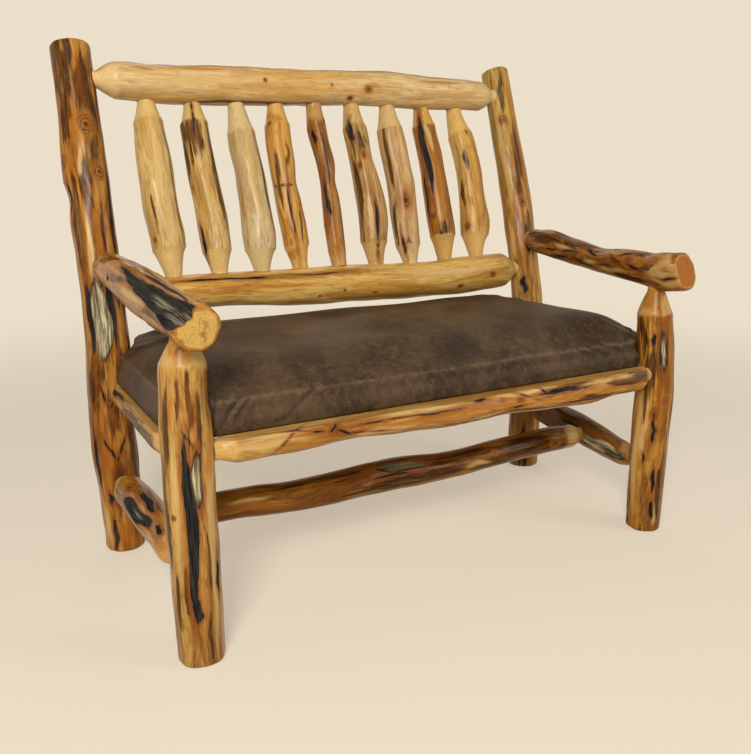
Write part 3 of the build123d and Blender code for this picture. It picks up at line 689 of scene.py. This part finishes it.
peeled_log("arm_right", (0, 0.026), wood, [
    brown(60, -45, 100, 22), brown(-60, -20, 90, 16), scar(-20, -78, 26, 3, 0.2),
    scar(-105, -62, 22, 4, -0.25), scar(-160, -98, 30, 3, 0.15), scar(-60, -105, 24, 3, -0.2),
    scar(-215, -45, 18, 5, 0.3), scar(-250, -80, 22, 3, -0.3), scar(40, -95, 24, 3, 0.2),
    brown(-130, -45, 44, 9, 0.3), brown(-190, -70, 36, 8, -0.3), brown(-20, -52, 40, 9, -0.2),
    brown(-250, -30, 50, 10, 0.2), brown(20, -118, 50, 8, 0.2), brown(-90, -125, 46, 8, -0.2),
    brown(-290, -75, 30, 7, 0.3), brown(-230, -125, 60, 12), knot(-235, -62, 11, 9),
    knot(-75, -88, 8, 7), pale(-180, -112, 60, 9), pale(-10, -70, 40, 7), pale(-100, -98, 36, 6),
    pale(-335, -100, 50, 24), pale(-345, -60, 26, 20), dip(-335, -100, 40, 22), scar(-352, -104, 16, 4),
    swell(-335, -20, 40, 40), swell(-215, -60, 50, 40), dip(-275, -50, 30, 40), dip(-120, 10, 60, 40),
    rust(-300, -50, 60, 18), brown(-330, 0, 50, 12),
    *wild(4, -350, 90, (0, 180), 9)], seed=6.0, bulge=0.003, hewn=0.002)

# ---- Front posts ----
# Straight logs from the floor, their tops turned to a tenon that goes up into the arm.
wood = peeled_wood("front_post_wood", (0.42, 0.23, 0.058), (0.30, 0.13, 0.024), (0.13, 0.045, 0.007),
                   figure=0.9, seed=6.0)
peeled_log("front_post_left", (0, 0.050), wood, [
    rust(566, -40, 36, 34), rust(470, -48, 70, 9), rust(470, 4, 60, 6), brown(455, -64, 110, 9),
    brown(480, -36, 80, 6), brown(490, -10, 70, 8), brown(460, 14, 80, 6), brown(300, -76, 130, 7),
    brown(160, -38, 60, 4), pale(330, -48, 150, 10), pale(250, 32, 200, 10), scar(262, -20, 165, 9.5),
    scar(116, -17, 26, 7), scar(425, -15, 14, 3, 0.4), window(350, 3, 47, 10), scar(165, 43, 30, 4),
    knot(285, -56, 4, 4), rust(380, 34, 60, 8), brown(210, 18, 60, 3), brown(60, 10, 50, 4),
    brown(130, -60, 70, 6), swell(530, -50, 30, 40), dip(480, 60, 40, 30), swell(400, 70, 60, 30),
    *wild(5, 30, 520, (70, 270), 8)], seed=7.0, foot=True)
wood = peeled_wood("front_post_wood_right", (0.43, 0.21, 0.035), (0.30, 0.11, 0.012),
                   (0.09, 0.028, 0.004), figure=0.9, seed=7.0)
peeled_log("front_post_right", (0, 0.060), wood, [
    window(437, -20, 44, 7), scar(437, -8, 50, 3), scar(437, -32, 50, 2), scar(464, -51, 13, 6),
    knot(325, -10, 10, 9), knot(295, -43, 15, 9), scar(292, -43, 9, 2.5), scar(268, -42, 14, 3),
    rust(556, -50, 44, 40), brown(548, -28, 34, 3), scar(246, -38, 24, 5), scar(187, -62, 10, 3),
    scar(135, -27, 30, 5), scar(62, -26, 22, 5), pale(50, -14, 30, 6), pale(190, -90, 180, 10),
    brown(400, -55, 70, 12), brown(310, 20, 90, 12), brown(470, -85, 50, 8), rust(310, -26, 60, 10),
    brown(100, -5, 70, 7), brown(350, -70, 110, 5), pale(260, -68, 90, 8),
    *wild(6, 30, 520, (60, 240), 8)], seed=8.0, flare=1.0, foot=True)

# ---- Back rails ----
# Two pale logs between the rear posts, tenoned in, with nine spindles between them.
rail_cone = 0.048           # length of a rail's turned shoulder
wood = peeled_wood("top_rail_wood", (0.60, 0.43, 0.20), (0.55, 0.33, 0.10), (0.38, 0.17, 0.040),
                   figure=0.5, seed=9.0)
peeled_log("top_rail", (rail_cone, rail_cone), wood, [
    knot(-147, 15, 4, 4), knot(124, -6, 9, 7), knot(77, -38, 7, 6), knot(25, 4, 3, 3),
    rust(135, 0, 34, 10), brown(-180, -64, 170, 7), rust(-430, 40, 40, 6), rust(-300, 52, 120, 5),
    rust(330, 40, 110, 5), scar(-60, 66, 160, 1.5), pale(-300, 10, 150, 8), dip(-180, -70, 180, 20),
    *wild(7, -450, 450, (70, 270), 9)], seed=12.0)
wood = peeled_wood("lower_rail_wood", (0.62, 0.39, 0.11), (0.50, 0.26, 0.045), (0.27, 0.10, 0.015),
                   figure=0.55, seed=10.0)
peeled_log("lower_back_rail", (rail_cone, rail_cone), wood, [
    scar(-270, 46, 150, 3), scar(-95, 50, 60, 3), knot(-11, -11, 4, 3), knot(-75, -27, 4, 3),
    knot(73, -24, 6, 3), knot(327, -26, 7, 5), knot(427, 2, 8, 6), pale(300, 30, 160, 12),
    rust(-300, 10, 120, 9), *wild(8, -450, 450, (90, 250), 9)], seed=13.0)

# ---- Spindles ----
# Nine short logs of different trees, each turned to a cone and a tenon at both ends.
spindle_woods = (
    ((0.56, 0.38, 0.14), (0.48, 0.29, 0.08), (0.28, 0.12, 0.03), 0.45),
    ((0.56, 0.38, 0.13), (0.46, 0.26, 0.065), (0.2, 0.07, 0.012), 0.55),
    ((0.52, 0.39, 0.20), (0.45, 0.31, 0.13), (0.3, 0.15, 0.04), 0.4),
    ((0.54, 0.28, 0.06), (0.46, 0.19, 0.026), (0.24, 0.075, 0.01), 0.7),
    ((0.36, 0.17, 0.04), (0.27, 0.10, 0.015), (0.11, 0.033, 0.005), 0.8),
    ((0.45, 0.27, 0.09), (0.36, 0.18, 0.045), (0.15, 0.055, 0.012), 0.65),
    ((0.53, 0.35, 0.16), (0.46, 0.27, 0.10), (0.22, 0.09, 0.025), 0.5),
    ((0.48, 0.25, 0.05), (0.36, 0.14, 0.018), (0.1, 0.03, 0.004), 0.75),
    ((0.60, 0.37, 0.11), (0.50, 0.26, 0.055), (0.2, 0.07, 0.01), 0.6))
spindle_marks = (
    [brown(742, -39, 50, 4), knot(683, -59, 6, 4), rust(690, -20, 30, 6), brown(820, 48, 130, 3),
     pale(850, -10, 110, 8), swell(690, 70, 30, 30)],
    [brown(905, -52, 66, 34), brown(905, -5, 44, 18), brown(850, -78, 70, 12), brown(790, 38, 130, 7),
     scar(932, -22, 38, 2.5), scar(674, -74, 34, 6)],
    [brown(770, 42, 120, 4), pale(800, -10, 110, 6), dip(830, -80, 30, 30), rust(760, -70, 40, 4)],
    [rust(945, -45, 24, 30), rust(636, -30, 24, 30), scar(740, -18, 55, 2.5), brown(800, -50, 70, 7),
     brown(860, 10, 40, 8), knot(930, -60, 6, 5), brown(790, -30, 5, 26, 0.3), dip(800, 60, 30, 30),
     swell(700, 75, 40, 30), brown(700, 20, 60, 5)],
    [scar(905, -60, 14, 5), scar(740, -40, 18, 4), brown(820, -20, 70, 6), rust(680, -20, 50, 12),
     swell(850, 70, 26, 26), dip(800, 80, 24, 26), swell(760, -80, 26, 26), scar(770, -55, 40, 3)],
    [brown(905, -30, 56, 24), scar(915, -50, 26, 6), knot(858, -16, 9, 6), scar(690, -8, 60, 4),
     brown(760, -70, 100, 9), knot(835, -40, 8, 6), pale(720, -30, 60, 5), swell(720, 80, 50, 30),
     dip(840, 80, 40, 30)],
    [knot(747, -17, 20, 12), brown(636, -23, 18, 10), brown(850, -62, 90, 7), brown(700, -75, 80, 8),
     rust(760, 10, 60, 8), scar(640, -50, 20, 3)],
    [scar(855, -50, 95, 8), knot(710, -61, 8, 7), rust(770, -10, 70, 12), brown(660, -25, 30, 12),
     scar(760, -80, 50, 4), swell(700, -70, 36, 30), pale(900, -20, 40, 6)],
    [brown(846, -40, 26, 6), brown(764, -75, 30, 5), knot(674, -62, 9, 8), rust(689, -3, 26, 12),
     brown(930, 0, 30, 5), swell(690, 80, 30, 30), rust(800, 30, 90, 6)])
spindle_cones = (           # length of the turned shoulders, at the foot and at the top
    (0.058, 0.046), (0.048, 0.044), (0.046, 0.066), (0.044, 0.050), (0.040, 0.044), (0.056, 0.060),
    (0.046, 0.062), (0.060, 0.050), (0.054, 0.070))
spindles = zip(spindle_woods, spindle_marks, spindle_cones)
for number, (tones, marks, cones) in enumerate(spindles, 1):
    wood = peeled_wood(f"spindle_wood_{number}", *tones, 20.0 + number)
    marks = marks + wild(20 + number, 640, 950, (70, 240), 3)
    peeled_log(f"spindle_{number}", cones, wood, marks, 20.0 + number, bulge=0.0024,
               hewn=0.0013, turned_edge=0.0008, flare=0.62, back=0.009)

# ---- Seat rails ----
# Four logs between the posts, planed flat on top to carry the seat.
wood = peeled_wood("seat_rail_wood", (0.50, 0.29, 0.075), (0.36, 0.16, 0.026), (0.14, 0.045, 0.006),
                   figure=0.75, seed=15.0)
seat_rail_marks = {
    "front": [
        scar(-377, 18, 16, 1.5, -0.85), scar(-331, 29, 36, 1.1, 0.19), knot(-284, 20, 14, 10),
        scar(-291, 25, 9, 4, -0.6), scar(-270, 6, 17, 3, 0.6), scar(-235, -12, 24, 1.2, 0.1),
        pale(-105, 40, 88, 12), scar(-105, 22, 92, 1.8), rust(-110, 4, 140, 6), pale(-190, -20, 70, 10),
        scar(30, 38, 18, 4), scar(243, 22, 66, 5), knot(86, 24, 7, 5), knot(132, 14, 9, 6),
        scar(148, 26, 14, 1.5, 0.4), scar(129, -18, 13, 3), rust(400, 0, 140, 14),
        rust(230, -14, 110, 12), scar(194, 30, 8, 3, 1.0), brown(480, 30, 60, 14),
        brown(250, 32, 80, 10), pale(340, 30, 60, 7), pale(160, 40, 80, 7), rust(60, 6, 130, 16),
        brown(430, 10, 90, 8), swell(-20, 20, 60, 40), dip(120, -40, 60, 40), swell(330, -40, 60, 40),
        dip(-230, -60, 70, 40), pale(-400, 20, 70, 16), brown(330, -30, 100, 9), rust(-330, 20, 50, 4),
        brown(100, -40, 160, 7)],
    "rear": wild(9, -450, 450, (0, 360), 12),
    "left": [scar(60, -60, 60, 5), brown(-100, -80, 90, 9), *wild(10, -230, 120, (0, 360), 5)],
    "right": wild(11, -230, 120, (0, 360), 8)}
planed_height = 0.401
for name, marks in seat_rail_marks.items():
    last_cone = 0.026 if name == "front" else rail_cone
    peeled_log(f"seat_rail_{name}", (rail_cone, last_cone), wood, marks, 40.0 + len(marks),
               flat_top=planed_height)

# ---- Stretchers ----
# A log low on each side, and a thinner one across between them.
stretcher_woods = {
    "side_stretcher_left": ((0.50, 0.24, 0.04), (0.34, 0.12, 0.012), (0.08, 0.024, 0.003), 0.8),
    "side_stretcher_right": ((0.18, 0.075, 0.012), (0.10, 0.034, 0.004), (0.04, 0.012, 0.002), 0.9),
    "centre_stretcher": ((0.25, 0.10, 0.012), (0.18, 0.060, 0.005), (0.05, 0.015, 0.002), 0.75)}
stretcher_marks = {
    "side_stretcher_left": [
        knot(30, -28, 17, 13), scar(-80, -56, 86, 14), pale(-130, -36, 50, 5), scar(-195, -35, 18, 6),
        scar(-85, -10, 46, 7), brown(-60, 10, 80, 10), swell(-20, -40, 40, 40), dip(-150, -90, 40, 40),
        brown(10, -64, 60, 6), rust(-150, -14, 40, 8), rust(-220, -60, 50, 20),
        *wild(12, -250, 120, (40, 220), 5)],
    "side_stretcher_right": [
        window(-172, -84, 82, 15), brown(-215, -84, 40, 8), scar(-60, -60, 40, 4),
        brown(-50, -80, 60, 12), *wild(13, -250, 120, (20, 200), 6)],
    "centre_stretcher": [
        brown(-240, 66, 150, 7), window(-20, 48, 64, 11), brown(-20, 48, 90, 16), knot(240, 27, 7, 5),
        knot(422, 1, 10, 8), brown(130, 45, 150, 20), brown(320, 30, 130, 22), brown(60, -10, 120, 12),
        brown(400, -20, 80, 12), pale(-380, 30, 50, 6), pale(484, 0, 26, 60), rust(-390, 0, 120, 12),
        brown(-60, -20, 100, 9), brown(20, 10, 70, 14), brown(260, 0, 50, 22), brown(120, 10, 50, 16),
        scar(-50, 20, 46, 3), scar(-10, 76, 60, 3), pale(190, -5, 44, 9), brown(-130, 30, 60, 12),
        dip(120, 60, 80, 40), swell(300, 70, 70, 40), knot(-300, 5, 4, 4), brown(200, -25, 110, 8),
        *wild(14, -450, 450, (90, 270), 8)]}
for name, marks in stretcher_marks.items():
    cone = 0.034 if name == "centre_stretcher" else rail_cone
    seed = 50.0 + len(marks)
    wood = peeled_wood(name + "_wood", *stretcher_woods[name], seed)
    peeled_log(name, (cone, cone), wood, marks, seed)

# ---- Seat ----
# Foam on a plywood board, under one piece of brown distressed leather. The leather is
# pulled down over the sides, and its hem is turned in and stapled under the board.
skin = 0.0018               # leather's face outside the sides of the foam and the board
puff = 0.007                # most that the foam puffs the leather out
crease_height = 0.461       # where the sides turn over into the crown
tight_band = 0.02           # above the board's top, where the leather still lies close
lower_edge = 0.004          # height of the strip along the hem
folds = (                   # on the front, from a place to a place in mm, half width, depth
    ((-492, 410), (-446, 462), 5, 3.8), ((-474, 412), (-430, 455), 4, 2.8),
    ((-503, 414), (-488, 466), 4, 3.0), ((-378, 412), (-305, 458), 6, 3.2),
    ((-352, 410), (-330, 436), 4, 1.6), ((-250, 410), (-215, 440), 6, 1.2),
    ((322, 460), (384, 412), 4, 2.2), ((352, 462), (432, 418), 4, 2.4), ((392, 462), (486, 424), 5, 2.6),
    ((300, 456), (332, 424), 4, 1.6), ((262, 460), (292, 424), 5, 1.2), ((60, 452), (90, 424), 6, 0.9))
rear_post_y = 0.17          # where the rear posts pass the seat
seat_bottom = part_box("leather_cover")[0].z
board_bottom, board_top = (corner.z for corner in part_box("seat_board"))
pad = bmesh.new()
pad.from_mesh(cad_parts["foam_pad"].data)
bmesh.ops.remove_doubles(pad, verts=pad.verts, dist=0.0001)
for corner in pad.verts:
    if corner.co.z < board_top + 0.002:
        corner.co.z = seat_bottom
pad.normal_update()
sides = BVHTree.FromPolygons([corner.co for corner in pad.verts],
                             [[corner.index for corner in face.verts] for face in pad.faces
                              if abs(face.normal.z) < 0.3])
cover = bpy.data.meshes.new("seat_cushion")
pad.to_mesh(cover)
pad.free()
cushion = bpy.data.objects.new("seat_cushion", cover)
scene.collection.objects.link(cushion)
grid = cushion.modifiers.new("grid", "REMESH")
grid.mode = "VOXEL"
grid.voxel_size = 0.008
cover = settle(cushion)
facing = read(cover.vertices, "normal", 3)
facing[:, 2] *= facing[:, 2] > 0
start = read(cover.vertices, "co", 3) + facing * skin
cover.vertices.foreach_set("co", start.ravel())
held = cushion.vertex_groups.new(name="held")
held.add([int(i) for i in np.flatnonzero(start[:, 2] < board_top + 0.004)], 1.0, "REPLACE")
cloth = cushion.modifiers.new("cloth", "CLOTH")
cloth.settings.use_pressure = True
cloth.settings.uniform_pressure_force = 4.0
cloth.settings.effector_weights.gravity = 0.0
cloth.settings.vertex_group_mass = "held"
cloth.settings.quality = 5
last_frame = 20
cloth.point_cache.frame_start, cloth.point_cache.frame_end = 1, last_frame
for frame_number in range(1, last_frame + 1):
    scene.frame_set(frame_number)
cover = settle(cushion)
scene.frame_set(1)
moved = read(cover.vertices, "co", 3) - start
far = np.linalg.norm(moved, axis=1)
place = start + moved * np.minimum(1, puff / np.maximum(far, 1e-6))[:, None]
cover.vertices.foreach_set("co", place.ravel())
finer = cushion.modifiers.new("finer", "SUBSURF")
finer.levels = finer.render_levels = 1
cover = settle(cushion)

# The sides are stretched flat over the board, turn sharply into the crown, and are
# gathered beside the posts. The crown lies in low waves.
crease_lift, pucker_height, wave_height = 0.0016, 0.0011, 0.0009
place, facing = read(cover.vertices, "co", 3), read(cover.vertices, "normal", 3)
crease = hump((place[:, 2] - crease_height) / 0.0055) * rise(np.abs(facing[:, 2]), 0.95, 0.5)
lift = crease_lift * crease
front = rise(-facing[:, 1], 0.2, 0.6)
for (x1, z1), (x2, z2), half_wide, depth in folds:
    along = np.array([x2 - x1, z2 - z1]) / 1000
    from_start = place[:, (0, 2)] - np.array([x1, z1]) / 1000
    t = np.clip(from_start @ along / (along @ along), 0, 1)
    d = np.linalg.norm(from_start - t[:, None] * along, axis=1) * 1000 / half_wide
    lift += front * depth / 1000 * (0.75 * hump(d - 1.7) - hump(d)) * (1 - 0.5 * t)
for name in ("front_post_left", "front_post_right", "rear_post_left", "rear_post_right"):
    low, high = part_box(name)
    middle = np.array([(low.x + high.x) / 2, (low.y + high.y) / 2 if "front" in name else rear_post_y])
    spoke = place[:, :2] - middle
    out = np.linalg.norm(spoke, axis=1)
    turn = np.arctan2(spoke[:, 1], spoke[:, 0])
    pucker = np.sin(15 * turn + 30 * place[:, 2]) + 0.6 * np.sin(27 * turn + 1.0)
    lift += pucker_height * pucker * np.exp(-((out - 0.04) / 0.05)) * rise(out, 0.03, 0.06)
x, y = place[:, 0], place[:, 1]
waves = np.sin(21 * x + 9 * y) + np.sin(33 * y - 14 * x + 1.0)
lift += wave_height * rise(facing[:, 2], 0.6, 0.95) * waves
lift *= rise(place[:, 2], board_bottom, board_top)
place += facing * lift[:, None]
for i in np.flatnonzero(place[:, 2] < board_top + tight_band):
    on_side, out, _, distance = sides.find_nearest(Vector(place[i]))
    at_hem = place[i, 2] < seat_bottom + lower_edge
    if at_hem and distance > 0.006:
        place[i, 2] = board_bottom + 0.004
        continue
    tight = 1 - (place[i, 2] - board_top) / tight_band
    goal = on_side + out * skin
    goal.z = seat_bottom if at_hem else place[i, 2]
    place[i] = Vector(place[i]).lerp(goal, min(1, max(0, tight)))
cover.vertices.foreach_set("co", place.ravel())
# Painted highlight: the leather is lighter along the crease and on what the folds, puckers and waves
# raise. Painted shade: it is darker in their hollows.
store(cover, "painted_highlight", crease + 0.5 * rise(lift, 0.0004, 0.0012))
store(cover, "painted_shade", rise(-lift, 0.0004, 0.002))

# The hem is the CAD cover's own turned-in edge, with the window that shows the board.
hem = bmesh.new()
hem.from_mesh(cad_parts["leather_cover"].data)
bmesh.ops.remove_doubles(hem, verts=hem.verts, dist=0.00001)
hem_top = seat_bottom + 0.0017
above = [face for face in hem.faces if max(corner.co.z for corner in face.verts) > hem_top]
bmesh.ops.delete(hem, geom=above, context="FACES")
turned_in = bpy.data.meshes.new("hem")
hem.to_mesh(turned_in)
hem.clear()
hem.from_mesh(cover)
for face in hem.faces:
    face.smooth = True
hem.from_mesh(turned_in)
hem.to_mesh(cover)
hem.free()
bpy.data.meshes.remove(turned_in)

leather, wire = emptied(bpy.data.materials.new("seat_leather"))
at = wire.node("ShaderNodeTexCoord", out="Object")
cloud = at.scaled(9).noise(detail=4, rough=0.6, twist=0.6)
mottle = at.scaled(64).noise(detail=5, rough=0.7, twist=0.4)
scuff = at.scaled(170).noise(detail=3, rough=0.65)
nap = at.scaled(480).noise(detail=2, rough=0.7)
pores = wire.node("ShaderNodeTexVoronoi", {"Vector": at.scaled(420), "Scale": 1.0}, "Distance",
                  feature="F1")
painted_highlight, painted_shade = wire.stored("painted_highlight", "Fac"), wire.stored("painted_shade", "Fac")
colour = wire.layered(
    (0.028, 0.0155, 0.0075),
    (cloud.step(0.36, 0.66), (0.068, 0.039, 0.019)),
    ((mottle + scuff * 0.3).step(0.60, 0.86) * 0.55, (0.12, 0.070, 0.035)),
    ((mottle + scuff * 0.2).step(0.56, 0.38) * 0.6, (0.017, 0.009, 0.004)),
    # Lighter scuffs, and the painted highlight along the crease and on the raised folds.
    ((painted_highlight * 0.5 + (scuff + mottle) * 0.5).step(0.66, 1.05) * 0.45, (0.14, 0.085, 0.046)),
    # Painted shade in the hollows of the folds, puckers and waves.
    (painted_shade * 0.6, (0.018, 0.009, 0.004)))
relief = pores * 0.5 + mottle * 0.8 + scuff * 0.4
wire.coat({"Base Color": colour.scaled(nap * 1.6 + 0.2), "Roughness": mottle * 0.25 + 0.36,
           "Normal": relief.bump(0.6, 0.0012), "Specular IOR Level": 0.18})
cover.materials.clear()
cover.materials.append(leather)
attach(cushion, "root")
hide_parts("leather_cover", "foam_pad")

# ---- Board, screws and staples ----
# A birch plywood board, zinc-plated wood screws and steel staples. They keep the shapes
# of their CAD solids and get their finishes here.
two_plies = 0.0036          # a pale and a dark ply of the board's edge
plywood, wire = emptied(bpy.data.materials.new("birch_plywood"))
at = wire.node("ShaderNodeTexCoord", out="Object")
veneer = at.vector("MULTIPLY", (9, 120, 9)).noise(detail=4, rough=0.6, twist=0.4)
plies = (at.parts()[2] * (2 * pi / two_plies)).math("SINE")
upright = wire.node("ShaderNodeNewGeometry", out="Normal").parts()[2].math("ABSOLUTE")
colour = wire.layered((0.60, 0.42, 0.22), (veneer.step(0.35, 0.7), (0.46, 0.29, 0.13)),
                      (plies.step(-0.2, 0.2) * upright.step(0.6, 0.3) * 0.6, (0.24, 0.13, 0.05)))
wire.coat({"Base Color": colour, "Roughness": veneer * 0.2 + 0.5, "Normal": veneer.bump(0.2, 0.0005)})
zinc, wire = emptied(bpy.data.materials.new("zinc_plate"))
spangle = wire.node("ShaderNodeTexCoord", out="Object").scaled(700.0).noise(detail=3)
colour = wire.layered((0.46, 0.45, 0.42), (spangle.step(0.35, 0.65), (0.62, 0.60, 0.55)))
wire.coat({"Base Color": colour, "Metallic": 1.0, "Roughness": spangle * 0.3 + 0.22})
finishes = {"seat_board": plywood, "cover_staples": zinc, "frame_screws": zinc, "seat_screws": zinc}
for name, finish in finishes.items():
    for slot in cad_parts[name].material_slots:
        slot.material = finish
